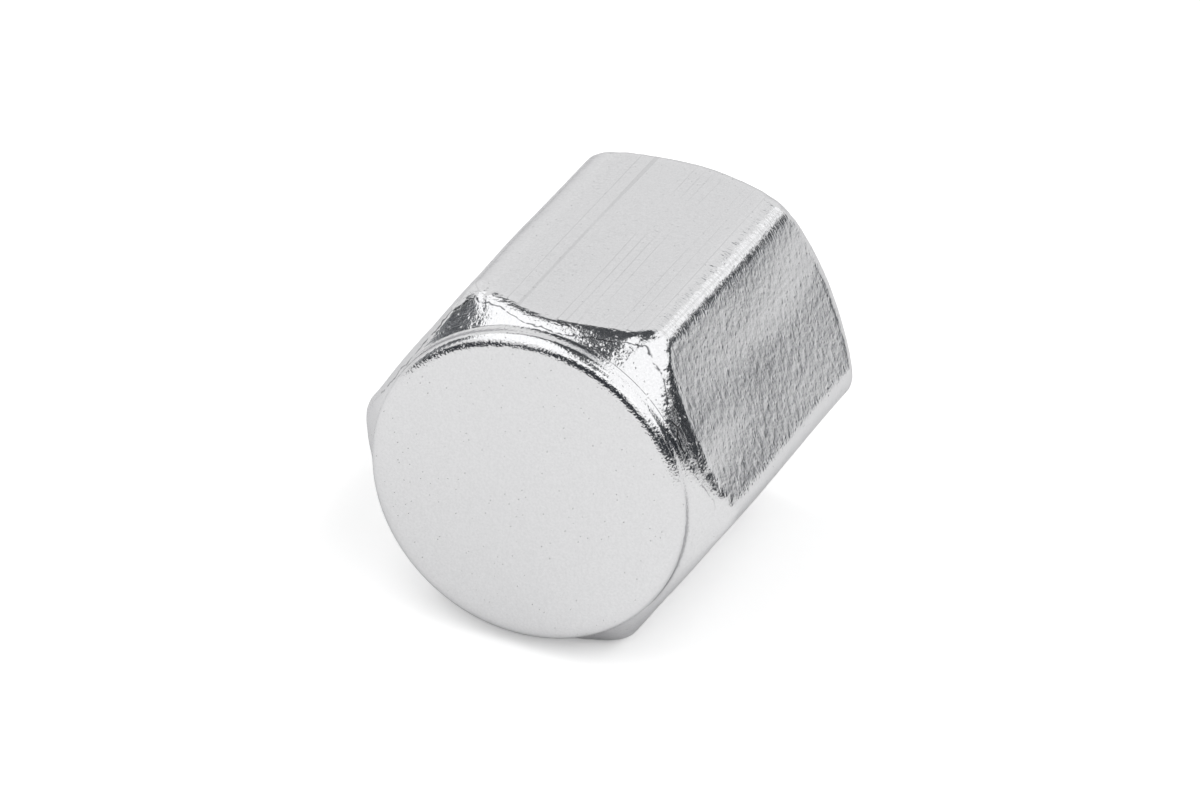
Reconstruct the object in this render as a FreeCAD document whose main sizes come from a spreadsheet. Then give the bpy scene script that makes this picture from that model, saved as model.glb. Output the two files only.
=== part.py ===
import FreeCAD, Part
import math
import os

import Sketcher

# Hexagonal metal tyre valve cap, lying on one of its flats.
# The cap is turned from hexagon bar. Its round closed head faces -Y and its open mouth faces +Y.
# A rubber washer sits at the bottom of the threaded bore and seals on the rim of the valve.
# Each piece is drawn about its own Y axis, with the plane of the head's face at station 0,
# and is then raised so that the lower flat lies on Z = 0.

DRIVING_SIZES = {
    "across_flats": 11.0,
    "corner_radius": 0.9,
    "cap_length": 13.4,
    "head_inset": 0.32,
    "head_rim_height": 0.66,
    "head_edge_radius": 0.26,
    "head_chamfer_angle": 50.0,
    "head_scallop_radius": 0.45,
    "mouth_inset": 0.55,
    "mouth_chamfer_angle": 45.0,
    "mouth_edge_radius": 0.2,
    "mouth_scallop_radius": 0.6,
    "lead_in_diameter": 8.1,
    "lead_in_angle": 45.0,
    "thread_minor_diameter": 7.0,
    "thread_length": 6.8,
    "relief_diameter": 8.0,
    "relief_width": 1.4,
    "pocket_diameter": 3.6,
    "pocket_depth": 0.9,
    "drill_point_angle": 118.0,
    "washer_thickness": 1.2,
    "washer_hole_diameter": 3.8,
    "washer_bevel": 0.15,
    "washer_clearance": 0.1,
}

# Places on the turned profile that several features share, as (radius or station) expressions.
# A sum stands in brackets, so that it can be used inside another one.
FLAT_HEIGHT = "sizes.across_flats / 2"
OUTSIDE = "sizes.across_flats"
HEAD_RADIUS = f"({FLAT_HEIGHT} - sizes.head_inset)"
MOUTH = "sizes.cap_length"
MOUTH_RADIUS = f"({FLAT_HEIGHT} - sizes.mouth_inset)"
LEAD_RADIUS = "sizes.lead_in_diameter / 2"
THREAD_RADIUS = "sizes.thread_minor_diameter / 2"
RELIEF_RADIUS = "sizes.relief_diameter / 2"
POCKET_RADIUS = "sizes.pocket_diameter / 2"
THREAD_END = f"({MOUTH} - sizes.thread_length)"
SEAT = f"({THREAD_END} - sizes.relief_width)"
POCKET_END = f"({SEAT} - sizes.pocket_depth)"
DRILL_TIP = f"({POCKET_END} - {POCKET_RADIUS} / tan(sizes.drill_point_angle / 2 * 1 deg))"
WASHER_TOP = f"({SEAT} + sizes.washer_thickness)"
WASHER_RADIUS = f"({RELIEF_RADIUS} - sizes.washer_clearance)"
WASHER_HOLE_RADIUS = "sizes.washer_hole_diameter / 2"


def write_sizes(doc):
    """Fill the sheet of driving dimensions, one named cell for each."""
    sheet = doc.addObject("Spreadsheet::Sheet", "sizes")
    for row, (alias, value) in enumerate(DRIVING_SIZES.items(), start=1):
        sheet.set(f"A{row}", alias)
        sheet.set(f"B{row}", str(value))
        sheet.setAlias(f"B{row}", alias)
    doc.recompute()
    return sheet


def new_body(doc, name):
    """Start a piece whose axis lies half the hexagon's width above the surface."""
    body = doc.addObject("PartDesign::Body", name)
    body.Label = name
    body.setExpression("Placement.Base.y", f"-({MOUTH}) / 2")
    body.setExpression("Placement.Base.z", FLAT_HEIGHT)
    return body


def new_sketch(body, name, role):
    """Attach an empty sketch to one of the body's own origin planes."""
    sketch = body.newObject("Sketcher::SketchObject", name)
    plane = next(item for item in body.Origin.OriginFeatures if item.Role == role)
    sketch.AttachmentSupport = [(plane, "")]
    sketch.MapMode = "FlatFace"
    return sketch


def close_outline(sketch, places):
    """Draw a closed run of straight lines through the places and join their ends."""
    count = len(places)
    for index, place in enumerate(places):
        following = places[(index + 1) % count]
        line = Part.LineSegment(FreeCAD.Vector(*place, 0), FreeCAD.Vector(*following, 0))
        sketch.addGeometry(line, False)
    for index in range(count):
        following = (index + 1) % count
        sketch.addConstraint(Sketcher.Constraint("Coincident", index, 2, following, 1))


def pin_down(sketch, line, direction, expression):
    """Hold the start of a line at a bound distance from the origin, or on the axis at none."""
    axis = {"DistanceX": -2, "DistanceY": -1}[direction]
    value = float(sketch.evalExpression(expression))
    if value == 0:
        sketch.addConstraint(Sketcher.Constraint("PointOnObject", line, 1, axis))
        return
    number = sketch.addConstraint(Sketcher.Constraint(direction, -1, 1, line, 1, value))
    name = f"{direction}_{line}"
    sketch.renameConstraint(number, name)
    sketch.setExpression(f"Constraints.{name}", expression)


def turned_profile(sketch, corners):
    """Draw an outline for turning, from its corners as (radius, station) expressions."""
    places = [[float(sketch.evalExpression(text)) for text in corner] for corner in corners]
    close_outline(sketch, places)
    for line, (radius, station) in enumerate(corners):
        pin_down(sketch, line, "DistanceX", radius)
        pin_down(sketch, line, "DistanceY", station)


def hexagon(sketch):
    """Draw a regular hexagon about the origin, level at top and bottom."""
    sides = 6
    across_flats = float(sketch.evalExpression("sizes.across_flats"))
    reach = across_flats / 2 / math.cos(math.pi / sides)
    turns = [2 * math.pi * step / sides for step in range(sides)]
    close_outline(sketch, [(reach * math.cos(turn), reach * math.sin(turn)) for turn in turns])
    centre = FreeCAD.Vector(0, 0, 0)
    ring = sketch.addGeometry(Part.Circle(centre, FreeCAD.Vector(0, 0, 1), reach), True)
    sketch.addConstraint(Sketcher.Constraint("Coincident", ring, 3, -1, 1))
    for side in range(sides):
        sketch.addConstraint(Sketcher.Constraint("PointOnObject", side, 1, ring))
    for side in range(1, sides):
        sketch.addConstraint(Sketcher.Constraint("Equal", 0, side))
    top, bottom = 1, 4
    sketch.addConstraint(Sketcher.Constraint("Horizontal", top))
    width = Sketcher.Constraint("DistanceY", bottom, 1, top, 1, across_flats)
    sketch.renameConstraint(sketch.addConstraint(width), "across_flats")
    sketch.setExpression("Constraints.across_flats", "sizes.across_flats")


def turn_away(body, name, corners):
    """Cut a turned groove all round the axis, and make sure that it removes metal."""
    doc = body.Document
    before = body.Shape.Volume
    sketch = new_sketch(body, f"{name}_profile", "XY_Plane")
    turned_profile(sketch, corners)
    groove = body.newObject("PartDesign::Groove", name)
    groove.Profile = sketch
    groove.ReferenceAxis = (sketch, ["V_Axis"])
    groove.Angle = 360
    doc.recompute()
    if not body.Shape.Volume < before:
        raise RuntimeError(f"{name} removes nothing")
    return groove


def round_edges(body, name, size, wanted):
    """Round the edges of the body's last feature that pass a test, to a size from the sheet."""
    base = body.Tip
    edges = [f"Edge{place}" for place, edge in enumerate(base.Shape.Edges, start=1) if wanted(edge)]
    if not edges:
        raise RuntimeError(f"{name} finds no edge")
    fillet = body.newObject("PartDesign::Fillet", name)
    fillet.Base = (base, edges)
    fillet.setExpression("Radius", f"sizes.{size}")
    body.Document.recompute()
    return fillet


def is_line(edge):
    """Tell whether an edge is straight."""
    return isinstance(edge.Curve, Part.Line)


def is_circle(edge):
    """Tell whether an edge is round."""
    return isinstance(edge.Curve, Part.Circle)


def runs_along_axis(edge):
    """Tell whether an edge is one of the bar's six corners."""
    box = edge.BoundBox
    return is_line(edge) and box.YLength > box.DiagonalLength / 2


def circle_test(station):
    """Give a test for the round edge at a station along the axis."""
    def wanted(edge):
        return is_circle(edge) and math.isclose(edge.Curve.Center.y, station, abs_tol=1e-6)
    return wanted


def scallop_test(low, high):
    """Give a test for the curved edges where a cone meets the hexagon, between two stations."""
    def wanted(edge):
        middle = edge.BoundBox.Center.y
        return not is_line(edge) and not is_circle(edge) and low < middle < high
    return wanted


def cap_body(doc, sheet):
    """Turn the cap from hexagon bar: round its corners, cut both ends, then bore it."""
    body = new_body(doc, "cap_body")
    bar_section = new_sketch(body, "bar_section", "XZ_Plane")
    hexagon(bar_section)
    bar = body.newObject("PartDesign::Pad", "hexagon_bar")
    bar.Profile = bar_section
    bar.Reversed = True
    bar.setExpression("Length", MOUTH)
    doc.recompute()
    round_edges(body, "bar_corners", "corner_radius", runs_along_axis)

    slope = "tan(sizes.head_chamfer_angle * 1 deg)"
    turn_away(body, "head_turning", [
        (HEAD_RADIUS, "0"),
        (OUTSIDE, "0"),
        (OUTSIDE, f"sizes.head_rim_height + ({OUTSIDE} - {HEAD_RADIUS}) * {slope}"),
        (HEAD_RADIUS, "sizes.head_rim_height"),
    ])
    slope = "tan(sizes.mouth_chamfer_angle * 1 deg)"
    turn_away(body, "mouth_turning", [
        (MOUTH_RADIUS, MOUTH),
        (OUTSIDE, MOUTH),
        (OUTSIDE, f"{MOUTH} - ({OUTSIDE} - {MOUTH_RADIUS}) * {slope}"),
    ])

    middle = sheet.cap_length / 2
    round_edges(body, "head_scallops", "head_scallop_radius", scallop_test(0, middle))
    round_edges(body, "mouth_scallops", "mouth_scallop_radius", scallop_test(middle, sheet.cap_length))
    round_edges(body, "head_edge", "head_edge_radius", circle_test(0))
    round_edges(body, "mouth_edge", "mouth_edge_radius", circle_test(sheet.cap_length))

    turn_away(body, "threaded_bore", [
        ("0", MOUTH),
        (LEAD_RADIUS, MOUTH),
        (THREAD_RADIUS, f"{MOUTH} - ({LEAD_RADIUS} - {THREAD_RADIUS}) * tan(sizes.lead_in_angle * 1 deg)"),
        (THREAD_RADIUS, THREAD_END),
        (RELIEF_RADIUS, THREAD_END),
        (RELIEF_RADIUS, SEAT),
        (POCKET_RADIUS, SEAT),
        (POCKET_RADIUS, POCKET_END),
        ("0", DRILL_TIP),
    ])
    return body


def seal_washer(doc):
    """Turn the rubber washer that rests on the seat, just inside the relief behind the thread."""
    body = new_body(doc, "seal_washer")
    profile = new_sketch(body, "washer_profile", "XY_Plane")
    turned_profile(profile, [
        (WASHER_HOLE_RADIUS, SEAT),
        (WASHER_RADIUS, SEAT),
        (WASHER_RADIUS, WASHER_TOP),
        (WASHER_HOLE_RADIUS, WASHER_TOP),
    ])
    ring = body.newObject("PartDesign::Revolution", "washer_ring")
    ring.Profile = profile
    ring.ReferenceAxis = (profile, ["V_Axis"])
    ring.Angle = 360
    doc.recompute()
    edges = [f"Edge{place}" for place, edge in enumerate(ring.Shape.Edges, start=1) if is_circle(edge)]
    bevel = body.newObject("PartDesign::Chamfer", "washer_edges")
    bevel.Base = (ring, edges)
    bevel.setExpression("Size", "sizes.washer_bevel")
    doc.recompute()
    return body


def check(doc, pieces):
    """Stop if any feature failed or any piece is not one sound solid."""
    for item in doc.Objects:
        if "Invalid" in item.State or "Error" in item.State:
            raise RuntimeError(f"{item.Name} failed: {item.State}")
    for piece in pieces:
        if piece.Shape.isNull() or not piece.Shape.isValid() or len(piece.Shape.Solids) != 1:
            raise RuntimeError(f"{piece.Label} is not one sound solid")


def main():
    """Build every piece, check it and write it to its own file."""
    doc = FreeCAD.newDocument("tyre_valve_cap")
    sheet = write_sizes(doc)
    pieces = [cap_body(doc, sheet), seal_washer(doc)]
    doc.recompute()
    check(doc, pieces)
    os.makedirs("parts", exist_ok=True)
    for piece in pieces:
        piece.Shape.exportStep(f"parts/{piece.Label}.step")
        box = piece.Shape.BoundBox
        print(f"{piece.Label}: {piece.Shape.Volume:.1f} mm3, "
              f"X {box.XMin:.2f} to {box.XMax:.2f}, Y {box.YMin:.2f} to {box.YMax:.2f}, "
              f"Z {box.ZMin:.2f} to {box.ZMax:.2f}")


main()
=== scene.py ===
"""Looks of a hexagonal metal tyre valve cap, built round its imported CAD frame.

The cap lies on one flat of its hexagon. Its axis runs along +Y, from the round closed head to the open
mouth. Sizes of the cap's pieces and finishes are in millimetres, and each finished mesh is in metres. The
studio's sizes are in metres and its angles in degrees.
"""

import logging
import math
from dataclasses import dataclass
from enum import Enum
from typing import Any

import bmesh
import bpy
from mathutils import Matrix, Vector, noise


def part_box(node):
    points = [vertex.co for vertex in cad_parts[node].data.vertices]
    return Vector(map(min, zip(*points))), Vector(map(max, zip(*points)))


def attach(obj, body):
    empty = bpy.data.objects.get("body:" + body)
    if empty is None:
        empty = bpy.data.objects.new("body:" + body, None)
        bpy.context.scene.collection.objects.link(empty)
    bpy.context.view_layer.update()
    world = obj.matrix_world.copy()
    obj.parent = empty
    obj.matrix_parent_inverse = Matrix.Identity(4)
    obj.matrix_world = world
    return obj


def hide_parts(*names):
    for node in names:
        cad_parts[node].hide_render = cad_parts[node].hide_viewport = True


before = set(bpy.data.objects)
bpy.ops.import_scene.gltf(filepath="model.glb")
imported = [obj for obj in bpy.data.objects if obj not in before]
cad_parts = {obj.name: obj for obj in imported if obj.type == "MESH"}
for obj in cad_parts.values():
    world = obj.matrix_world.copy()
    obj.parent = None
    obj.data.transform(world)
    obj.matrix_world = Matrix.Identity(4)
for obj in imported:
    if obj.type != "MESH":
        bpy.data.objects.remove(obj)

Tree = bpy.types.NodeTree
Socket = bpy.types.NodeSocket

LOG = logging.getLogger("valve_cap")
METRES = 0.001
# Points nearer than this, in millimetres, are one: in a finished piece, and where turned sixths join.
SAME_POINT = 1e-5
SEAM_GAP = 1e-4


def linear(hex_colour: str) -> tuple[float, float, float, float]:
    """Turns an sRGB hex colour to linear.

    Args:
        hex_colour: Six hex digits, with or without a leading hash.

    Returns:
        Linear red, green and blue, with an alpha of 1.
    """
    digits = hex_colour.lstrip("#")
    levels = [int(digits[at:at + 2], 16) / 255 for at in (0, 2, 4)]
    parts = [c / 12.92 if c <= 0.04045 else ((c + 0.055) / 1.055) ** 2.4 for c in levels]
    return (parts[0], parts[1], parts[2], 1.0)


def texture_scale(size: float) -> float:
    """Gives the scale of a texture in metres whose grains have a size in millimetres."""
    return 1 / (size * METRES)


def blank_material(name: str) -> bpy.types.Material:
    """Makes a material that has no nodes yet.

    Args:
        name: Name of the material.

    Returns:
        The material.
    """
    material = bpy.data.materials.new(name)
    material.use_nodes = True
    material.node_tree.nodes.clear()
    return material


def add_node(tree: Tree, kind: str, settings: dict[str, Any] | None = None,
             inputs: dict[str | int, Any] | None = None) -> bpy.types.Node:
    """Adds a node with its settings, socket values and links.

    Args:
        tree: Node tree that gets the node.
        kind: Blender's name for the node's type.
        settings: Properties of the node.
        inputs: A value or an output socket for each input, by its name or number.

    Returns:
        The new node.
    """
    node = tree.nodes.new(kind)
    for name, value in (settings or {}).items():
        setattr(node, name, value)
    for name, value in (inputs or {}).items():
        if isinstance(value, Socket):
            tree.links.new(value, node.inputs[name])
        else:
            node.inputs[name].default_value = value
    return node


def finish_piece(mesh: bmesh.types.BMesh, name: str, material: bpy.types.Material,
                 crease: float = math.radians(35)) -> bpy.types.Object:
    """Closes a mesh drawn in millimetres and makes it an object in metres.

    Args:
        mesh: The piece in millimetres. It is freed.
        name: Name of the object and of its mesh.
        material: Finish of the whole piece.
        crease: Edges sharper than this angle stay crisp.

    Returns:
        The object, with its place in its mesh.
    """
    bmesh.ops.remove_doubles(mesh, verts=mesh.verts, dist=SAME_POINT)
    bmesh.ops.recalc_face_normals(mesh, faces=mesh.faces)
    bmesh.ops.scale(mesh, vec=(METRES,) * 3, verts=mesh.verts)
    data = bpy.data.meshes.new(name)
    mesh.to_mesh(data)
    mesh.free()
    data.shade_smooth()
    data.set_sharp_from_angle(angle=crease)
    data.materials.append(material)
    piece = bpy.data.objects.new(name, data)
    bpy.context.scene.collection.objects.link(piece)
    return piece


def round_edge(radius: float, reach: float, cone_side: float, flat_side: float) -> float:
    """Gives the surface where the turned blank meets a side of the bar, with its edge worn round.

    Args:
        radius: Radius of the turned blank.
        reach: Radius of the bar.
        cone_side: How far below the bar the blank is where the wear starts. A small value leaves a crisp
            line there.
        flat_side: How far above the bar the blank is where the wear ends in the bar's side.

    Returns:
        The worn radius.
    """
    below = reach - radius
    if below >= cone_side:
        return radius
    share = max(flat_side + below, 0.0) / (flat_side + cone_side)
    return reach - cone_side * share * share


def polar(place: Vector) -> tuple[float, float]:
    """Gives a place's distance from the cap's axis and its angle from the top flat towards +X."""
    return math.hypot(place.x, place.z), math.atan2(place.x, place.z)


def move_about_axis(vert: bmesh.types.BMVert, radius: float, angle: float) -> None:
    """Puts a point at a radius and angle about the cap's axis and keeps its station."""
    vert.co.x = radius * math.sin(angle)
    vert.co.z = radius * math.cos(angle)


@dataclass(frozen=True)
class OutlinePoint:
    """A corner of a turned outline, in millimetres.

    Attributes:
        radius: Distance from the axis.
        station: Place along the axis.
        before: How far the corner's rounding reaches along the side before it.
        after: How far the rounding reaches along the side after it.
        step: Distance between the rows of points on the side that follows.
    """

    radius: float
    station: float
    before: float = 0.0
    after: float = 0.0
    step: float = 0.5

    @property
    def place(self) -> Vector:
        """The corner's place in the half-plane above the axis."""
        return Vector((0, self.station, self.radius))


def round_corner(mesh: bmesh.types.BMesh, corner: bmesh.types.BMVert, point: OutlinePoint,
                 previous: OutlinePoint, following: OutlinePoint) -> None:
    """Rounds a corner of an outline with an arc that may reach further on one side.

    Args:
        mesh: The outline.
        corner: Point of the outline that is rounded.
        point: What the outline says about it.
        previous: The outline's corner before it.
        following: The outline's corner after it.
    """
    back = (previous.place - point.place).normalized()
    ahead = (following.place - point.place).normalized()
    reach = min(point.before, point.after)
    rounded = bmesh.ops.bevel(mesh, geom=[corner], offset=reach, offset_type="OFFSET",
                              affect="VERTICES", segments=8, profile=0.5, material=-1)["verts"]
    area = back.cross(ahead).x
    for vert in rounded:
        offset = vert.co - point.place
        along_back = offset.cross(ahead).x / area * point.before / reach
        along_ahead = back.cross(offset).x / area * point.after / reach
        vert.co = point.place + back * along_back + ahead * along_ahead


def turn_outline(points: list[OutlinePoint], sector_steps: int) -> bmesh.types.BMesh:
    """Turns an outline about the Y axis, one sixth at a time.

    Args:
        points: The outline's corners in order. The first joins the last if both lie off the axis.
        sector_steps: Number of sides of a sixth of the turned shape.

    Returns:
        A mesh of the turned shape, in millimetres.
    """
    mesh = bmesh.new()
    spacing = mesh.edges.layers.float.new("spacing")
    corners = [mesh.verts.new(point.place) for point in points]
    count = len(points)
    closed = points[0].radius > 0
    for at in range(count if closed else count - 1):
        mesh.edges.new((corners[at], corners[(at + 1) % count]))[spacing] = points[at].step
    for at, (corner, point) in enumerate(zip(corners, points)):
        if point.before:
            round_corner(mesh, corner, point, points[at - 1], points[(at + 1) % count])
    for edge in list(mesh.edges):
        cuts = math.ceil(edge.calc_length() / edge[spacing]) - 1
        if cuts:
            bmesh.ops.subdivide_edges(mesh, edges=[edge], cuts=cuts)
    bmesh.ops.spin(mesh, geom=mesh.verts[:] + mesh.edges[:], axis=(0, 1, 0), cent=(0, 0, 0),
                   angle=math.tau / 6, steps=sector_steps)
    sector = mesh.verts[:] + mesh.edges[:] + mesh.faces[:]
    for turn in range(1, 6):
        copied = bmesh.ops.duplicate(mesh, geom=sector)["geom"]
        bmesh.ops.rotate(mesh, verts=[part for part in copied if isinstance(part, bmesh.types.BMVert)],
                         cent=(0, 0, 0), matrix=Matrix.Rotation(turn * math.tau / 6, 3, "Y"))
    bmesh.ops.remove_doubles(mesh, verts=mesh.verts, dist=SEAM_GAP)
    return mesh


@dataclass(frozen=True)
class HexagonBar:
    """The rounded hexagon bar that the cap is cut from.

    Attributes:
        fade: How far a corner's finish reaches into the flat, as a part of half the corner's angle.
    """

    across_flats: float
    corner_radius: float = 0.9
    fade: float = 0.6

    @property
    def tangent(self) -> float:
        """Angle between a corner and the start of the flat beside it, seen from the axis."""
        centre = (self.across_flats / 2 - self.corner_radius) / math.cos(math.pi / 6)
        return math.atan2(self.corner_radius * math.sin(math.pi / 6),
                          centre + self.corner_radius * math.cos(math.pi / 6))

    def roundness(self, angle: float) -> float:
        """Gives 1 on a rounded corner, 0 on a flat and a value between where one turns into the other."""
        from_corner = abs((angle % (math.pi / 3)) - math.pi / 6)
        return min(max(1 + self.fade - from_corner / self.tangent, 0.0), self.fade) / self.fade

    def reach(self, angle: float) -> float:
        """Gives the bar's radius.

        Args:
            angle: Angle from the top flat, in radians.

        Returns:
            Distance from the axis to the bar's surface.
        """
        from_corner = abs((angle % (math.pi / 3)) - math.pi / 6)
        apothem = self.across_flats / 2
        centre = (apothem - self.corner_radius) / math.cos(math.pi / 6)
        if from_corner >= self.tangent:
            return apothem / math.cos(math.pi / 6 - from_corner)
        across = centre * math.sin(from_corner)
        return centre * math.cos(from_corner) + math.sqrt(self.corner_radius ** 2 - across ** 2)


@dataclass(frozen=True)
class ValveThread:
    """The right-handed thread of a standard car tyre valve, cut in the bore."""

    pitch: float = 0.794
    minor_radius: float = 3.5
    major_radius: float = 3.87
    root_width: float = 0.1
    flank_angle: float = 30.0

    def cut(self, station: float, angle: float) -> float:
        """Gives the depth of the thread's groove.

        Args:
            station: Place along the axis.
            angle: Angle from the top flat towards +X, in radians.

        Returns:
            Radius that the cutter reaches there.
        """
        turn = (station / self.pitch - angle / math.tau) % 1
        from_root = abs(turn - 0.5) * self.pitch - self.root_width / 2
        depth = self.major_radius - self.minor_radius
        flank = max(0.0, from_root) / math.tan(math.radians(self.flank_angle))
        return self.minor_radius + max(0.0, depth - flank)


class Grain(Enum):
    """What a kind of unevenness looks like."""

    SWELL = "soft bumps and hollows"
    PITS = "separate round hollows"
    SCRATCHES = "thin grooves"


@dataclass(frozen=True)
class Relief:
    """One kind of unevenness of a plated surface, in millimetres.

    Attributes:
        grain: What it looks like.
        across: Its size across the cap.
        along: Its size along the cap's axis, or along the turned outline where it forms rings.
        bar: Its depth on the drawn bar's flats.
        worn: Its depth on the rounded corners and scallops.
        turned: Its depth on the turned chamfers and in the bore.
        faced: Its depth on the head's face and rim.
        detail: How many finer octaves it has.
        width: Reach of a pit or half the width of a scratch, as a part of the grain.
        rings: Whether its grains run round the axis.
    """

    grain: Grain
    across: float
    along: float
    bar: float = 0.0
    worn: float = 0.0
    turned: float = 0.0
    faced: float = 0.0
    detail: float = 1.0
    width: float = 0.4
    rings: bool = False


@dataclass(frozen=True)
class Zones:
    """Sockets that tell where a point of the cap lies: 1 in the named zone and 0 outside it."""

    turned: Socket
    worn: Socket
    faced: Socket

    def choose(self, tree: Tree, bar: float, worn: float, turned: float, faced: float) -> Socket:
        """Adds the nodes that blend a value for each zone.

        Args:
            tree: The material's nodes.
            bar: Value on the bar's flats.
            worn: Value on the rounded corners and scallops.
            turned: Value on the turned chamfers and in the bore.
            faced: Value on the head's face and rim.

        Returns:
            The blended value.
        """
        value = bar
        for zone, level in ((self.turned, turned), (self.worn, worn), (self.faced, faced)):
            value = add_node(tree, "ShaderNodeMapRange", inputs={
                "Value": zone, "To Min": value, "To Max": level}).outputs[0]
        return value


@dataclass(frozen=True)
class PlatedMetal:
    """Bright nickel-chrome plating over tumbled brass.

    Plating copies the brass under it, so the mirror is broken by the tumbling's orange peel, by fine
    pits and by what is left of the drawing lines and the turning marks.

    Attributes:
        colour: Its colour where it is clear.
        edge_colour: Its tint at a grazing angle, where chrome loses some of its light.
        bar_roughness: Roughness of the drawn flats, which mirror only broad light and dark.
        worn_roughness: Roughness of the corners and scallops, which are rubbed brighter.
        turned_roughness: Roughness of the turned faces and the bore, which mirror most sharply.
        reliefs: The kinds of unevenness, which are added together.
        axis_height: Height of the cap's axis, round which the turning marks run.
        crease_depth: Depth of the fold below the scallops.
        crease_wave: Size of the fold's waves.
        crease_swing: How far its waves move it, as a part of the worn edge's width.
        crease_place: Where it lies in the worn edge, before its waves move it back.
        crease_width: Half its width, as a part of the worn edge's width.
        crease_wear: Wear at which the fold starts, and at which it is whole.
        fold_shade_colour: Painted shade in the fold: a dark grey laid into the plating's colour.
        shade_gap: Size of the gaps between the dashes of painted shade.
        shade_levels: Levels of noise between which the painted shade ends.
        shade_heights: Heights on the cap between which the painted shade grows, so it lies on the upper
            side only.
        scratch: The lines that drawing left along the bar.
        scratch_colour: Colour of the lines and of the haze.
        scratch_patch: Size of the places with and without lines.
        scratch_levels: Levels of noise between which the lines of a place grow.
        haze: Strength of the haze, a fine dull speckle that dims the mirror.
        haze_grain: Size of its speckles.
    """

    colour: str = "#e7e7e8"
    edge_colour: str = "#e0e0e1"
    bar_roughness: float = 0.25
    worn_roughness: float = 0.16
    turned_roughness: float = 0.13
    reliefs: tuple[Relief, ...] = (
        # Orange peel, which breaks the flats' mirror into short light and dark strokes.
        Relief(Grain.SWELL, 0.28, 0.28, bar=0.0180, worn=0.0085, turned=0.0080, faced=0.0010, detail=2.0),
        # Fine grain, which makes the head's face look satin.
        Relief(Grain.SWELL, 0.08, 0.08, bar=0.0012, worn=0.0065, turned=0.0060, faced=0.0090),
        # Cross strokes, which fray the bright lines along the corners.
        Relief(Grain.SWELL, 0.40, 0.10, worn=0.0100),
        # Wide waves, which bend the highlights of the cones.
        Relief(Grain.SWELL, 0.60, 0.60, turned=0.0200),
        # Turning marks, which draw the cones' highlights out round the axis.
        Relief(Grain.SWELL, 0.50, 0.08, worn=0.0010, turned=0.0060, faced=0.0010, rings=True),
        # Short streaks, which stir the light on the head's face.
        Relief(Grain.SWELL, 0.10, 0.50, faced=0.0035, rings=True),
        # Shallow pits, wide dimples and pinholes, which sparkle or show as small dark dots.
        Relief(Grain.PITS, 0.24, 0.24, bar=0.0050, worn=0.0060, turned=0.0060, width=0.35),
        Relief(Grain.PITS, 0.70, 0.70, bar=0.0070, width=0.30),
        Relief(Grain.PITS, 0.26, 0.26, bar=0.0060, worn=0.0120, turned=0.0120, faced=0.0140, width=0.13),
    )
    axis_height: float = 5.5
    crease_depth: float = 0.002
    crease_wave: float = 0.5
    crease_swing: float = 0.5
    crease_place: float = 1.12
    crease_width: float = 0.05
    crease_wear: tuple[float, float] = (0.1, 0.4)
    # Painted shade: a dark grey laid into the fold's colour on the cap's upper side.
    fold_shade_colour: str = "#5b5c5f"
    shade_gap: float = 0.3
    shade_levels: tuple[float, float] = (0.4, 0.5)
    shade_heights: tuple[float, float] = (5.6, 7.6)
    scratch: Relief = Relief(Grain.SCRATCHES, 0.6, 300.0, detail=0.0, width=0.02)
    scratch_colour: str = "#d2d2d3"
    scratch_patch: float = 5.0
    scratch_levels: tuple[float, float] = (0.4, 0.6)
    haze: float = 1.0
    haze_grain: float = 0.07

    def grain(self, tree: Tree, layer: Relief, place: Socket) -> Socket:
        """Adds the nodes of one kind of unevenness.

        Args:
            tree: The material's nodes.
            layer: The kind of unevenness.
            place: Place on the cap, in metres.

        Returns:
            Its height as a part of its depth.
        """
        across, along = texture_scale(layer.across), texture_scale(layer.along)
        grains = add_node(tree, "ShaderNodeMapping", inputs={
            "Vector": place, "Scale": (across, along, across)}).outputs[0]
        if layer.grain is Grain.PITS:
            cells = add_node(tree, "ShaderNodeTexVoronoi", inputs={"Vector": grains, "Scale": 1.0})
            return add_node(tree, "ShaderNodeMapRange", {"interpolation_type": "SMOOTHSTEP"}, {
                "Value": cells.outputs["Distance"], "From Max": layer.width, "To Min": -1.0,
                "To Max": 0.0}).outputs[0]
        swell = add_node(tree, "ShaderNodeTexNoise", inputs={
            "Vector": grains, "Scale": 1.0, "Detail": layer.detail}).outputs["Fac"]
        if layer.grain is Grain.SWELL:
            return swell
        ridge = add_node(tree, "ShaderNodeMath", {"operation": "PINGPONG"}, {0: swell, 1: 0.5})
        return add_node(tree, "ShaderNodeMapRange", {"interpolation_type": "SMOOTHSTEP"}, {
            "Value": ridge.outputs[0], "From Min": 0.5 - layer.width, "From Max": 0.5, "To Min": 0.0,
            "To Max": -1.0}).outputs[0]

    def ringed(self, tree: Tree, place: Socket) -> Socket:
        """Adds the place that makes grains run round the axis.

        Args:
            tree: The material's nodes.
            place: Place on the cap, in metres.

        Returns:
            The place with its station along the turned outline instead of along the axis.
        """
        parts = add_node(tree, "ShaderNodeSeparateXYZ", inputs={0: place}).outputs
        from_axis = add_node(tree, "ShaderNodeMath", {"operation": "SUBTRACT"},
                             {0: parts["Z"], 1: self.axis_height * METRES})
        section = add_node(tree, "ShaderNodeCombineXYZ", inputs={
            "X": parts["X"], "Z": from_axis.outputs[0]})
        radius = add_node(tree, "ShaderNodeVectorMath", {"operation": "LENGTH"}, {0: section.outputs[0]})
        outline = add_node(tree, "ShaderNodeMath", {"operation": "ADD"},
                           {0: radius.outputs["Value"], 1: parts["Y"]})
        return add_node(tree, "ShaderNodeCombineXYZ", inputs={
            "X": parts["X"], "Y": outline.outputs[0], "Z": parts["Z"]}).outputs[0]

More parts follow.
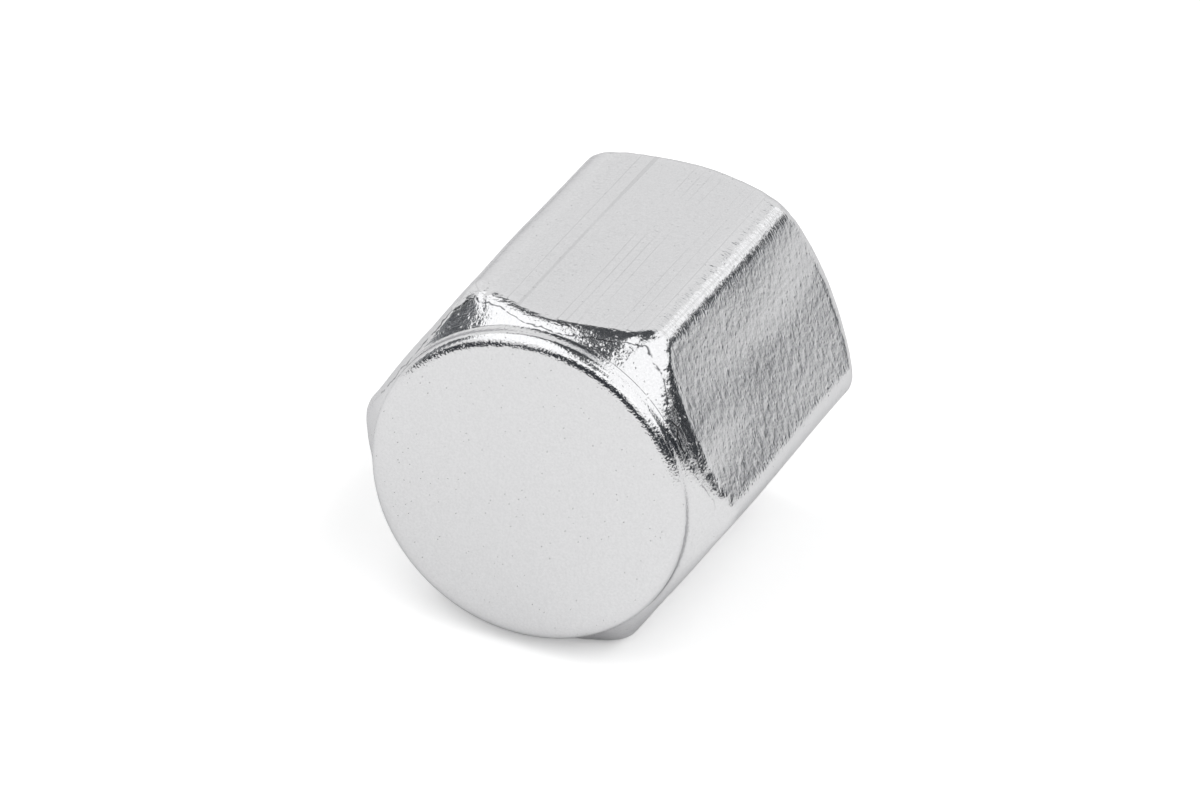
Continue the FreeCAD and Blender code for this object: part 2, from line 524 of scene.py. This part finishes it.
    def height(self, tree: Tree, zones: Zones, place: Socket, fold: Socket) -> Socket:
        """Adds the whole unevenness of the surface.

        Args:
            tree: The material's nodes.
            zones: Where each zone lies.
            place: Place on the cap, in metres.
            fold: The fold below the scallops.

        Returns:
            Height of the surface in metres.
        """
        ringed = self.ringed(tree, place)
        height = None
        for layer in self.reliefs:
            shape = self.grain(tree, layer, ringed if layer.rings else place)
            depth = zones.choose(tree, *(depth * METRES for depth in (
                layer.bar, layer.worn, layer.turned, layer.faced)))
            height = add_node(tree, "ShaderNodeMath", {"operation": "MULTIPLY_ADD"},
                              {0: shape, 1: depth, 2: height or 0.0}).outputs[0]
        return add_node(tree, "ShaderNodeMath", {"operation": "MULTIPLY_ADD"},
                        {0: fold, 1: self.crease_depth * METRES, 2: height}).outputs[0]

    def crease(self, tree: Tree, zones: Zones, place: Socket) -> Socket:
        """Adds the wavy fold that the tumbled scallops left on the cone below them.

        Args:
            tree: The material's nodes.
            zones: Where each zone lies.
            place: Place on the cap, in metres.

        Returns:
            0 beside the fold and -1 in it.
        """
        wave = add_node(tree, "ShaderNodeTexNoise", inputs={
            "Vector": place, "Scale": texture_scale(self.crease_wave)})
        coned = add_node(tree, "ShaderNodeMath", {"operation": "SUBTRACT"},
                         {0: zones.turned, 1: zones.faced})
        wavy = add_node(tree, "ShaderNodeMath", {"operation": "MULTIPLY_ADD"},
                        {0: wave.outputs["Fac"], 1: self.crease_swing, 2: coned.outputs[0]})
        beside = add_node(tree, "ShaderNodeMath", {"operation": "SUBTRACT"},
                          {0: wavy.outputs[0], 1: self.crease_place})
        away = add_node(tree, "ShaderNodeMath", {"operation": "ABSOLUTE"}, {0: beside.outputs[0]})
        start, whole = self.crease_wear
        depth = add_node(tree, "ShaderNodeMapRange", inputs={
            "Value": zones.worn, "From Min": start, "From Max": whole, "To Max": -1.0})
        return add_node(tree, "ShaderNodeMapRange", {"interpolation_type": "SMOOTHSTEP"}, {
            "Value": away.outputs[0], "From Max": self.crease_width, "To Min": depth.outputs[0],
            "To Max": 0.0}).outputs[0]

    def hazed(self, tree: Tree, zones: Zones, place: Socket) -> Socket:
        """Adds the plating's colour with its haze and the faint lines that drawing left along the bar.

        Args:
            tree: The material's nodes.
            zones: Where each zone lies.
            place: Place on the cap, in metres.

        Returns:
            The colour.
        """
        patch = add_node(tree, "ShaderNodeTexNoise", inputs={
            "Vector": place, "Scale": texture_scale(self.scratch_patch)})
        start, whole = self.scratch_levels
        strength = add_node(tree, "ShaderNodeMapRange", inputs={
            "Value": patch.outputs["Fac"], "From Min": start, "From Max": whole})
        here = add_node(tree, "ShaderNodeMapRange", inputs={
            "Value": zones.turned, "To Min": strength.outputs[0], "To Max": 0.0})
        haze = add_node(tree, "ShaderNodeTexNoise", inputs={
            "Vector": place, "Scale": texture_scale(self.haze_grain)})
        plain = add_node(tree, "ShaderNodeMath", {"operation": "MULTIPLY_ADD"}, {
            0: self.grain(tree, self.scratch, place), 1: here.outputs[0], 2: 1.0})
        clear = add_node(tree, "ShaderNodeMath", {"operation": "MULTIPLY_ADD"}, {
            0: haze.outputs["Fac"], 1: -self.haze, 2: plain.outputs[0]})
        return add_node(tree, "ShaderNodeMix", {"data_type": "RGBA"}, {
            "Factor": clear.outputs[0], "A": linear(self.scratch_colour),
            "B": linear(self.colour)}).outputs["Result"]

    def with_painted_shade(self, tree: Tree, clean: Socket, place: Socket, fold: Socket) -> Socket:
        """Adds painted shade: dark dashes laid into the colour in the upper part of the fold.

        Args:
            tree: The material's nodes.
            clean: Colour of the plating beside them.
            place: Place on the cap, in metres.
            fold: The fold below the scallops.

        Returns:
            The colour.
        """
        gaps = add_node(tree, "ShaderNodeTexNoise", inputs={
            "Vector": place, "Scale": texture_scale(self.shade_gap)})
        start, whole = self.shade_levels
        dashes = add_node(tree, "ShaderNodeMapRange", {"interpolation_type": "SMOOTHSTEP"}, {
            "Value": gaps.outputs["Fac"], "From Min": start, "From Max": whole, "To Min": 0.0,
            "To Max": -1.0})
        height = add_node(tree, "ShaderNodeSeparateXYZ", inputs={0: place}).outputs["Z"]
        low, high = self.shade_heights
        # The painted shade grows with height, so only the upper side of the fold is darkened.
        upper = add_node(tree, "ShaderNodeMapRange", {"interpolation_type": "SMOOTHSTEP"}, {
            "Value": height, "From Min": low * METRES, "From Max": high * METRES,
            "To Max": dashes.outputs[0]})
        painted_fold = add_node(tree, "ShaderNodeMath", {"operation": "MULTIPLY"}, {0: fold, 1: upper.outputs[0]})
        return add_node(tree, "ShaderNodeMix", {"data_type": "RGBA"}, {
            "Factor": painted_fold.outputs[0], "A": clean, "B": linear(self.fold_shade_colour)}).outputs["Result"]

    def material(self) -> bpy.types.Material:
        """Builds the plating's material.

        Returns:
            The material.
        """
        material = blank_material("bright_plating")
        tree = material.node_tree
        zones = Zones(*(add_node(tree, "ShaderNodeAttribute", {"attribute_name": zone}).outputs["Fac"]
                        for zone in ("turned", "worn", "faced")))
        place = add_node(tree, "ShaderNodeTexCoord").outputs["Object"]
        fold = self.crease(tree, zones, place)
        bump = add_node(tree, "ShaderNodeBump", inputs={
            "Height": self.height(tree, zones, place, fold), "Distance": 1.0})
        # The plating's colour, with painted shade in the upper part of the fold.
        colour = self.with_painted_shade(tree, self.hazed(tree, zones, place), place, fold)
        shader = add_node(tree, "ShaderNodeBsdfPrincipled", inputs={
            "Base Color": colour, "Metallic": 1.0, "Specular Tint": linear(self.edge_colour),
            "Roughness": zones.choose(tree, self.bar_roughness, self.worn_roughness,
                                      self.turned_roughness, self.turned_roughness),
            "Normal": bump.outputs["Normal"]})
        add_node(tree, "ShaderNodeOutputMaterial", inputs={"Surface": shader.outputs["BSDF"]})
        return material


@dataclass(frozen=True)
class WasherRubber:
    """Black nitrile rubber, moulded: matt, with the fine grain of its mould, which breaks its sheen."""

    colour: str = "#1d1d1e"
    roughness: float = 0.55
    grain_size: float = 0.08
    grain_detail: float = 4.0
    grain_depth: float = 0.01

    def material(self) -> bpy.types.Material:
        """Builds the rubber's material.

        Returns:
            The material.
        """
        material = blank_material("moulded_nitrile_rubber")
        tree = material.node_tree
        place = add_node(tree, "ShaderNodeTexCoord").outputs["Object"]
        grain = add_node(tree, "ShaderNodeTexNoise", inputs={
            "Vector": place, "Scale": texture_scale(self.grain_size), "Detail": self.grain_detail})
        bump = add_node(tree, "ShaderNodeBump", inputs={
            "Height": grain.outputs["Fac"], "Distance": self.grain_depth * METRES})
        shader = add_node(tree, "ShaderNodeBsdfPrincipled", inputs={
            "Base Color": linear(self.colour), "Roughness": self.roughness,
            "Normal": bump.outputs["Normal"]})
        add_node(tree, "ShaderNodeOutputMaterial", inputs={"Surface": shader.outputs["BSDF"]})
        return material


@dataclass
class CapBody:
    """The metal cap: hexagon bar turned at both ends and bored, with the valve's thread.

    Attributes:
        blank_radius: Radius of the turned blank, outside the bar's corners.
        rim_height: Height of the head's upright rim.
        rim_rounding: How far the rim's edge is rounded on the face and down the rim.
        rim_foot: How far the hollow below the rim reaches up the rim and along the cone.
        rim_margin: How far outside the rim the bar's outside or its chamfers begin.
        head_chamfer: Slope of the cone behind the head, in degrees from the face.
        mouth_chamfer: Slope of the cone at the mouth, in degrees from the face.
        mouth_rounding: Reach of the rounding round the mouth's face.
        head_scallop: How far below the bar the blank is where the wear at the head starts.
        mouth_scallop: The same at the mouth.
        thread_end: Station where the thread ends in the relief.
        relief_radius: Radius of the relief that the washer lies in.
        seat: Station of the washer's seat.
        pocket_radius: Radius of the drilled pocket behind the washer.
        pocket_end: Station where the drill's cone starts.
        sector_steps: Number of sides of a sixth of the cap.
        corner_crowding: How closely the sides stand at the corners, from 0 to 1.
        wave_width: Width of the waves that drawing left in the flats.
        wave_rate: How fast the waves change along the bar, against across it.
        wave_top: Level of noise that leaves a flat in place. Lower ones sink it.
        wave_depth: How deep a noise of 1 below that level sinks it.
        dent_width: Width of the dents in the worn edges.
        scallop_margin: How far the worn finish reaches past the scallops, as a part of half their width.
        point_wear: How much more the upper points of the scallops are worn.
        side_wear: How much further the wear reaches into the lower flat and the two beside the upper one.
    """

    length: float
    bar: HexagonBar
    thread: ValveThread
    finish: PlatedMetal
    blank_radius: float = 6.75
    head_radius: float = 5.18
    rim_height: float = 0.66
    rim_rounding: tuple[float, float] = (0.56, 0.36)
    rim_foot: tuple[float, float] = (0.20, 0.08)
    rim_margin: float = 0.05
    head_chamfer: float = 50.0
    mouth_radius: float = 4.95
    mouth_chamfer: float = 45.0
    mouth_rounding: float = 0.09
    head_scallop: float = 0.30
    mouth_scallop: float = 0.25
    lead_in_radius: float = 4.05
    lead_in_rounding: float = 0.04
    thread_end: float = -0.1
    relief_radius: float = 4.0
    relief_rounding: float = 0.1
    seat: float = -1.5
    pocket_radius: float = 1.8
    pocket_rounding: float = 0.05
    pocket_end: float = -2.4
    drill_angle: float = 118.0
    sector_steps: int = 60
    corner_crowding: float = 0.5
    wave_width: float = 2.0
    wave_rate: float = 0.35
    wave_top: float = 0.8
    wave_depth: float = 0.075
    dent_width: float = 0.4
    dent_depth: float = 0.018
    scallop_margin: float = 0.5
    point_wear: float = 0.6
    side_wear: float = 0.6

    @property
    def rim_radius(self) -> float:
        """Radius beyond which the metal is the bar's outside or its chamfers."""
        return self.head_radius + self.rim_margin

    def outline(self) -> list[OutlinePoint]:
        """Lists the corners of the turned outline.

        Returns:
            The corners, from the head's middle to the drill's tip.
        """
        head = -self.length / 2
        mouth = self.length / 2
        rim = head + self.rim_height
        head_rise = (self.blank_radius - self.head_radius) * math.tan(math.radians(self.head_chamfer))
        mouth_rise = (self.blank_radius - self.mouth_radius) * math.tan(math.radians(self.mouth_chamfer))
        bore = self.thread.minor_radius
        tip = self.pocket_end - self.pocket_radius / math.tan(math.radians(self.drill_angle / 2))
        rim_before, rim_after = self.rim_rounding
        foot_before, foot_after = self.rim_foot
        edge, corner, lip = self.lead_in_rounding, self.relief_rounding, self.pocket_rounding
        return [
            OutlinePoint(0, head, step=0.5),
            OutlinePoint(self.head_radius, head, rim_before, rim_after, step=0.1),
            OutlinePoint(self.head_radius, rim, foot_before, foot_after, step=0.06),
            OutlinePoint(self.blank_radius, rim + head_rise, step=0.2),
            OutlinePoint(self.blank_radius, mouth - mouth_rise, step=0.1),
            OutlinePoint(self.mouth_radius, mouth, self.mouth_rounding, self.mouth_rounding, step=0.2),
            OutlinePoint(self.lead_in_radius, mouth, edge, edge, step=0.08),
            OutlinePoint(bore, mouth - self.lead_in_radius + bore, step=self.thread.pitch / 8),
            OutlinePoint(bore, self.thread_end, step=0.25),
            OutlinePoint(self.relief_radius, self.thread_end, step=0.35),
            OutlinePoint(self.relief_radius, self.seat, corner, corner, step=0.5),
            OutlinePoint(self.pocket_radius, self.seat, lip, lip, step=0.3),
            OutlinePoint(self.pocket_radius, self.pocket_end, step=0.4),
            OutlinePoint(0, tip),
        ]

    def crowd_corners(self, mesh: bmesh.types.BMesh) -> None:
        """Draws the turned shape's sides together at the hexagon's corners.

        Args:
            mesh: The turned blank.
        """
        for vert in mesh.verts:
            radius, angle = polar(vert.co)
            move_about_axis(vert, radius, angle + self.corner_crowding / 6 * math.sin(6 * angle))

    def mill_flats(self, mesh: bmesh.types.BMesh) -> None:
        """Presses the blank back to the hexagon and marks its turned, worn and faced zones.

        Args:
            mesh: The turned blank.
        """
        turned = mesh.verts.layers.float.new("turned")
        worn = mesh.verts.layers.float.new("worn")
        faced = mesh.verts.layers.float.new("faced")
        for vert in mesh.verts:
            radius, angle = polar(vert.co)
            vert[faced] = float(vert.co.y < 0 and radius < self.rim_radius)
            corner = self.bar.roundness(angle)
            upper = (1 + math.cos(angle)) / 2
            scallop_side = self.head_scallop if vert.co.y < 0 else self.mouth_scallop
            cone_side = scallop_side * (1 + self.point_wear * upper * corner)
            flat_side = cone_side * (1 + self.side_wear * max(-math.cos(3 * angle), 0.0))
            reach = self.bar.reach(angle)
            across = (flat_side + reach - radius) / (flat_side + cone_side)
            vert[turned] = min(max(across, 0.0), 1.0)
            scallop = min(max(1 + self.scallop_margin - abs(2 * across - 1), 0.0), 1.0)
            vert[worn] = max(scallop, corner * (1 - vert[turned]))
            move_about_axis(vert, round_edge(radius, reach, cone_side, flat_side), angle)

    def tumble(self, mesh: bmesh.types.BMesh) -> None:
        """Leaves the drawn bar's long waves in its flats, and the dents of tumbling in its worn edges.

        Args:
            mesh: The cap with its flats.
        """
        turned = mesh.verts.layers.float["turned"]
        worn = mesh.verts.layers.float["worn"]
        for vert in mesh.verts:
            radius, angle = polar(vert.co)
            if radius > self.rim_radius:
                drawn = Vector((vert.co.x, vert.co.y * self.wave_rate, vert.co.z)) / self.wave_width
                wave = (noise.noise(drawn) - self.wave_top) * self.wave_depth * (1 - vert[turned])
                dent = abs(noise.noise(vert.co / self.dent_width)) * self.dent_depth * vert[worn]
                move_about_axis(vert, radius + wave - dent, angle)

    def cut_thread(self, mesh: bmesh.types.BMesh) -> None:
        """Cuts the thread's groove in the bore and its lead-in.

        Args:
            mesh: The cap with its plain bore.
        """
        for vert in mesh.verts:
            radius, angle = polar(vert.co)
            bored = self.thread.minor_radius - SEAM_GAP < radius < self.lead_in_radius
            if bored and vert.co.y > self.thread_end - SEAM_GAP:
                move_about_axis(vert, max(radius, self.thread.cut(vert.co.y, angle)), angle)

    def build(self) -> bpy.types.Object:
        """Builds the cap and puts it in the place of its CAD node.

        Returns:
            The cap.
        """
        mesh = turn_outline(self.outline(), self.sector_steps)
        self.crowd_corners(mesh)
        self.mill_flats(mesh)
        self.tumble(mesh)
        self.cut_thread(mesh)
        bmesh.ops.translate(mesh, vec=(0, 0, self.bar.across_flats / 2), verts=mesh.verts)
        piece = finish_piece(mesh, "cap_metal", self.finish.material())
        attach(piece, "root")
        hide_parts("cap_body")
        return piece


@dataclass
class SealWasher:
    """The rubber washer at the bottom of the bore, with the shallow ring that a valve's rim pressed in it.

    Attributes:
        seat: Station that its back lies on.
        rounding: Reach of the rounding of its edges.
        ring: Inner and outer radius of the pressed ring.
        ring_slope: Width of the ring's sloping sides.
    """

    axis_height: float
    finish: WasherRubber
    seat: float = -1.5
    thickness: float = 1.2
    inner_radius: float = 1.9
    outer_radius: float = 3.9
    rounding: float = 0.15
    ring: tuple[float, float] = (2.45, 3.35)
    ring_depth: float = 0.06
    ring_slope: float = 0.1
    sector_steps: int = 24

    def outline(self) -> list[OutlinePoint]:
        """Lists the corners of the washer's section.

        Returns:
            The corners, from the inner one at the seat and round by the outer edge.
        """
        face = self.seat + self.thickness
        pressed = face - self.ring_depth
        inner, outer = self.ring
        corner, edge = self.rounding, self.ring_slope / 2
        return [
            OutlinePoint(self.inner_radius, self.seat, corner, corner),
            OutlinePoint(self.outer_radius, self.seat, corner, corner),
            OutlinePoint(self.outer_radius, face, corner, corner),
            OutlinePoint(outer + edge, face, edge, edge),
            OutlinePoint(outer - edge, pressed, edge, edge),
            OutlinePoint(inner + edge, pressed, edge, edge),
            OutlinePoint(inner - edge, face, edge, edge),
            OutlinePoint(self.inner_radius, face, corner, corner),
        ]

    def build(self) -> bpy.types.Object:
        """Builds the washer and puts it in the place of its CAD node.

        Returns:
            The washer.
        """
        mesh = turn_outline(self.outline(), self.sector_steps)
        bmesh.ops.translate(mesh, vec=(0, 0, self.axis_height), verts=mesh.verts)
        piece = finish_piece(mesh, "washer_ring", self.finish.material())
        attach(piece, "root")
        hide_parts("seal_washer")
        return piece


@dataclass(frozen=True)
class Viewpoint:
    """Where the camera stands, as angles in degrees and millimetres."""

    position: tuple[float, float, float] = (88.366, -254.010, 156.483)
    azimuth: float = 19.229
    elevation: float = 29.328
    roll: float = 6.692
    lens: float = 297.99
    sensor_width: float = 36.0

    def build(self) -> bpy.types.Object:
        """Makes the camera and gives it to the scene.

        Returns:
            The camera.
        """
        data = bpy.data.cameras.new("camera")
        data.lens = self.lens
        data.sensor_width = self.sensor_width
        data.clip_start = 0.01
        camera = bpy.data.objects.new("camera", data)
        turn = (Matrix.Rotation(math.radians(self.azimuth), 4, "Z")
                @ Matrix.Rotation(math.radians(90 - self.elevation), 4, "X")
                @ Matrix.Rotation(math.radians(self.roll), 4, "Z"))
        camera.matrix_world = Matrix.Translation(Vector(self.position) * METRES) @ turn
        bpy.context.scene.collection.objects.link(camera)
        bpy.context.scene.camera = camera
        return camera


def white_paper(colour: str, glow: float) -> bpy.types.Material:
    """Builds the floor's white paper.

    Args:
        colour: Its colour, as sRGB hex.
        glow: Its own light, as a part of its colour. Only the camera sees it, and it lifts a shadow without
            taking it away.

    Returns:
        The material.
    """
    material = blank_material("white_paper")
    tree = material.node_tree
    camera = add_node(tree, "ShaderNodeLightPath").outputs["Is Camera Ray"]
    lift = add_node(tree, "ShaderNodeMath", {"operation": "MULTIPLY"}, {0: camera, 1: glow})
    own_light = add_node(tree, "ShaderNodeEmission", inputs={
        "Color": linear(colour), "Strength": lift.outputs[0]})
    lit = add_node(tree, "ShaderNodeBsdfDiffuse", inputs={"Color": linear(colour)})
    both = add_node(tree, "ShaderNodeAddShader", inputs={0: own_light.outputs[0], 1: lit.outputs[0]})
    add_node(tree, "ShaderNodeOutputMaterial", inputs={"Surface": both.outputs[0]})
    return material


def plain_glow(name: str, colour: str) -> bpy.types.Material:
    """Builds a surface that glows with its colour as its own light, whatever light falls on it: painted
    light.

    Args:
        name: Name of the material.
        colour: Its colour, as sRGB hex.

    Returns:
        The material.
    """
    material = blank_material(name)
    tree = material.node_tree
    own_light = add_node(tree, "ShaderNodeEmission", inputs={"Color": linear(colour), "Strength": 1.0})
    add_node(tree, "ShaderNodeOutputMaterial", inputs={"Surface": own_light.outputs[0]})
    return material


def place_in_studio(mesh: bmesh.types.BMesh, name: str, material: bpy.types.Material) -> bpy.types.Object:
    """Makes a mesh drawn in metres a part of the studio.

    Args:
        mesh: The mesh. It is freed.
        name: Name of the object and of its mesh.
        material: Its surface.

    Returns:
        The object.
    """
    data = bpy.data.meshes.new(name)
    mesh.to_mesh(data)
    mesh.free()
    data.materials.append(material)
    item = bpy.data.objects.new(name, data)
    bpy.context.scene.collection.objects.link(item)
    return item


def show_to_metal(mesh: bmesh.types.BMesh, name: str, colour: str) -> bpy.types.Object:
    """Makes a mesh drawn in metres a glowing part of the studio, painted light that is seen only as a
    reflection.

    Args:
        mesh: The mesh. It is freed.
        name: Name of the object, its mesh and its material.
        colour: The colour it glows with, as sRGB hex.

    Returns:
        The object.
    """
    item = place_in_studio(mesh, name, plain_glow(name, colour))
    item.visible_camera = False
    item.visible_diffuse = False
    item.visible_shadow = False
    return item


@dataclass(frozen=True)
class Softbox:
    """A large diffused lamp that faces the cap, with a dark back that keeps the air's light out of it.

    Attributes:
        heading: Where it stands, in degrees from +Y towards +X.
        elevation: How high it stands, in degrees.
        distance: Metres from the cap.
        radiance: How bright it looks, where 1 is white.
        turn: How far it is turned about the line to the cap, in degrees.
        back_gap: Distance between the lamp and its back.
    """

    name: str
    heading: float
    elevation: float
    distance: float
    width: float
    height: float
    radiance: float
    turn: float = 0.0
    back_gap: float = 0.01
    # The back glows with this dark colour: painted light that only the metal mirrors.
    back_colour: str = "#2f3237"

    def build(self) -> bpy.types.Object:
        """Makes the lamp, which the camera doesn't see, and its back.

        Returns:
            The lamp.
        """
        data = bpy.data.lights.new(self.name, "AREA")
        data.shape = "RECTANGLE"
        data.size = self.width
        data.size_y = self.height
        data.energy = self.radiance * math.pi * self.width * self.height
        lamp = bpy.data.objects.new(self.name, data)
        stand = (Matrix.Rotation(math.radians(180 - self.heading), 4, "Z")
                 @ Matrix.Rotation(math.radians(90 - self.elevation), 4, "X")
                 @ Matrix.Translation((0, 0, self.distance))
                 @ Matrix.Rotation(math.radians(self.turn), 4, "Z"))
        lamp.matrix_world = stand
        lamp.visible_camera = False
        bpy.context.scene.collection.objects.link(lamp)
        back = bmesh.new()
        bmesh.ops.create_grid(back, x_segments=1, y_segments=1, size=0.5,
                              matrix=stand @ Matrix.Translation((0, 0, self.back_gap))
                              @ Matrix.Diagonal((self.width, self.height, 1, 1)))
        show_to_metal(back, f"{self.name}_back", self.back_colour)
        return lamp


@dataclass(frozen=True)
class Curtain:
    """An upright cloth that curves round the cap, glows with its own grey as painted light, and only the
    metal mirrors.

    Attributes:
        start: Heading of its left edge, in degrees from +Y towards +X.
        end: Heading of its right edge.
        low: Elevation of its lower edge, in degrees.
        high: Elevation of its upper edge.
        colour: The grey it glows with, as sRGB hex: painted light in place of light falling on a cloth.
        distance: Metres from the cap.
    """

    name: str
    start: float
    end: float
    low: float
    high: float
    colour: str
    distance: float = 0.6

    def build(self) -> bpy.types.Object:
        """Makes the cloth.

        Returns:
            The cloth.
        """
        mesh = bmesh.new()
        heading = math.radians(self.start)
        ends = [mesh.verts.new((self.distance * math.sin(heading), self.distance * math.cos(heading),
                                self.distance * math.tan(math.radians(rise))))
                for rise in (self.low, self.high)]
        mesh.edges.new(ends)
        bmesh.ops.spin(mesh, geom=mesh.verts[:] + mesh.edges[:], axis=(0, 0, 1), cent=(0, 0, 0),
                       angle=math.radians(self.start - self.end), steps=24)
        return show_to_metal(mesh, self.name, self.colour)


@dataclass
class Studio:
    """White floor, softboxes, and a dark ceiling and grey cloths round the cap that glow with painted
    light.

    Attributes:
        backdrop: How bright the air is to the camera and in the metal, where 1 is white.
        fill: How bright it is as light on the floor.
        floor_size: Distance from the middle of the floor to its sides.
        floor_glow: How much of its colour the floor shows the camera where no light falls on it.
        cloths: Glowing cloths of painted light, each where a flat, a cone or a rounded corner mirrors it.
    """

    backdrop: float = 1.0
    fill: float = 0.43
    floor_size: float = 3.0
    floor_colour: str = "#f1f1f1"
    floor_glow: float = 0.31
    ceiling_height: float = 0.7
    ceiling_radius: float = 0.66
    # The ceiling glows with this colour: painted light that only the metal mirrors.
    ceiling_colour: str = "#4c4e51"
    lamps: tuple[Softbox, ...] = (
        Softbox("right_softbox", 80, 49, 0.5, 1.16, 0.44, 1.28, turn=-6),
        Softbox("left_softbox", -120, 57, 0.5, 0.62, 0.46, 1.35, turn=-12),
        Softbox("front_softbox", 167, 36, 0.5, 0.50, 0.13, 1.35),
        Softbox("top_softbox", 98, 75, 0.5, 0.20, 0.09, 1.3),
    )
    # Each cloth glows with its grey: painted light that only the metal mirrors.
    cloths: tuple[Curtain, ...] = (
        Curtain("cloth_back", -11, 20, 41, 47.5, "#b4b6b9"),
        Curtain("cloth_right_back", 28, 45, 4, 20, "#3f4246"),
        Curtain("cloth_right_back_low", 28, 37, 0.5, 4, "#cacccf"),
        Curtain("cloth_right_low", 37, 45, 1.5, 4, "#3f4246"),
        Curtain("cloth_right_middle", 45, 76.5, 6, 24, "#2f3237"),
        Curtain("cloth_right_middle_low", 45, 72, 1.5, 6, "#2f3237"),
        Curtain("cloth_right", 79.5, 130, 6, 28, "#373a3f", 0.4),
        Curtain("cloth_front_right", 130, 160, 0, 18, "#373a3f"),
        Curtain("cloth_front", 160, 196, 0, 27, "#373a3f"),
        Curtain("cloth_front_middle", 196, 210, 1, 13, "#373a3f"),
        Curtain("cloth_front_left", 210, 238, 1, 18, "#373a3f"),
        Curtain("cloth_left", 262, 270, 19, 35.5, "#505256", 0.4),
        Curtain("cloth_left_back", 270, 286.5, 19, 35.5, "#666869", 0.4),
        Curtain("cloth_left_front", 252, 262, 12, 35.5, "#8b8d90", 0.4),
        Curtain("cloth_left_middle", 262, 280, 12, 19, "#7e8083", 0.4),
        Curtain("cloth_left_front_low", 238, 262, 2, 12, "#45484c", 0.4),
        Curtain("cloth_left_low", 262, 275, 3, 12, "#a9abad", 0.4),
    )

    def build(self) -> None:
        """Builds the floor, the ceiling, the lamps, the cloths and the world."""
        floor = bmesh.new()
        bmesh.ops.create_grid(floor, x_segments=1, y_segments=1, size=self.floor_size)
        place_in_studio(floor, "floor", white_paper(self.floor_colour, self.floor_glow))
        ceiling = bmesh.new()
        bmesh.ops.create_circle(ceiling, cap_ends=True, segments=48, radius=self.ceiling_radius)
        bmesh.ops.translate(ceiling, vec=(0, 0, self.ceiling_height), verts=ceiling.verts)
        show_to_metal(ceiling, "ceiling", self.ceiling_colour)
        for item in self.lamps + self.cloths:
            item.build()
        self.build_air()

    def build_air(self) -> None:
        """Makes the world: white to the camera and in the metal, and dimmer as light on the floor."""
        world = bpy.data.worlds.new("studio_air")
        bpy.context.scene.world = world
        world.use_nodes = True
        tree = world.node_tree
        tree.nodes.clear()
        rays = add_node(tree, "ShaderNodeLightPath").outputs
        seen = add_node(tree, "ShaderNodeMath", {"operation": "MAXIMUM"},
                        {0: rays["Is Camera Ray"], 1: rays["Is Glossy Ray"]})
        strength = add_node(tree, "ShaderNodeMapRange", inputs={
            "Value": seen.outputs[0], "To Min": self.fill, "To Max": self.backdrop})
        air = add_node(tree, "ShaderNodeBackground", inputs={
            "Color": (1, 1, 1, 1), "Strength": strength.outputs[0]})
        add_node(tree, "ShaderNodeOutputWorld", inputs={"Surface": air.outputs[0]})


def main() -> None:
    """Builds the cap, its washer and the studio, and reports each piece."""
    logging.basicConfig(level=logging.INFO, format="%(name)s: %(message)s")
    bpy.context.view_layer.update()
    low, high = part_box("cap_body")
    bar = HexagonBar(across_flats=(high[2] - low[2]) / METRES)
    cap = CapBody((high[1] - low[1]) / METRES, bar, ValveThread(), PlatedMetal()).build()
    washer = SealWasher(bar.across_flats / 2, WasherRubber()).build()
    for piece in (cap, washer):
        LOG.info("%s: %d faces", piece.name, len(piece.data.polygons))
    Studio().build()
    Viewpoint().build()
    bpy.context.scene.view_settings.view_transform = "Standard"


if __name__ == "__main__":
    main()
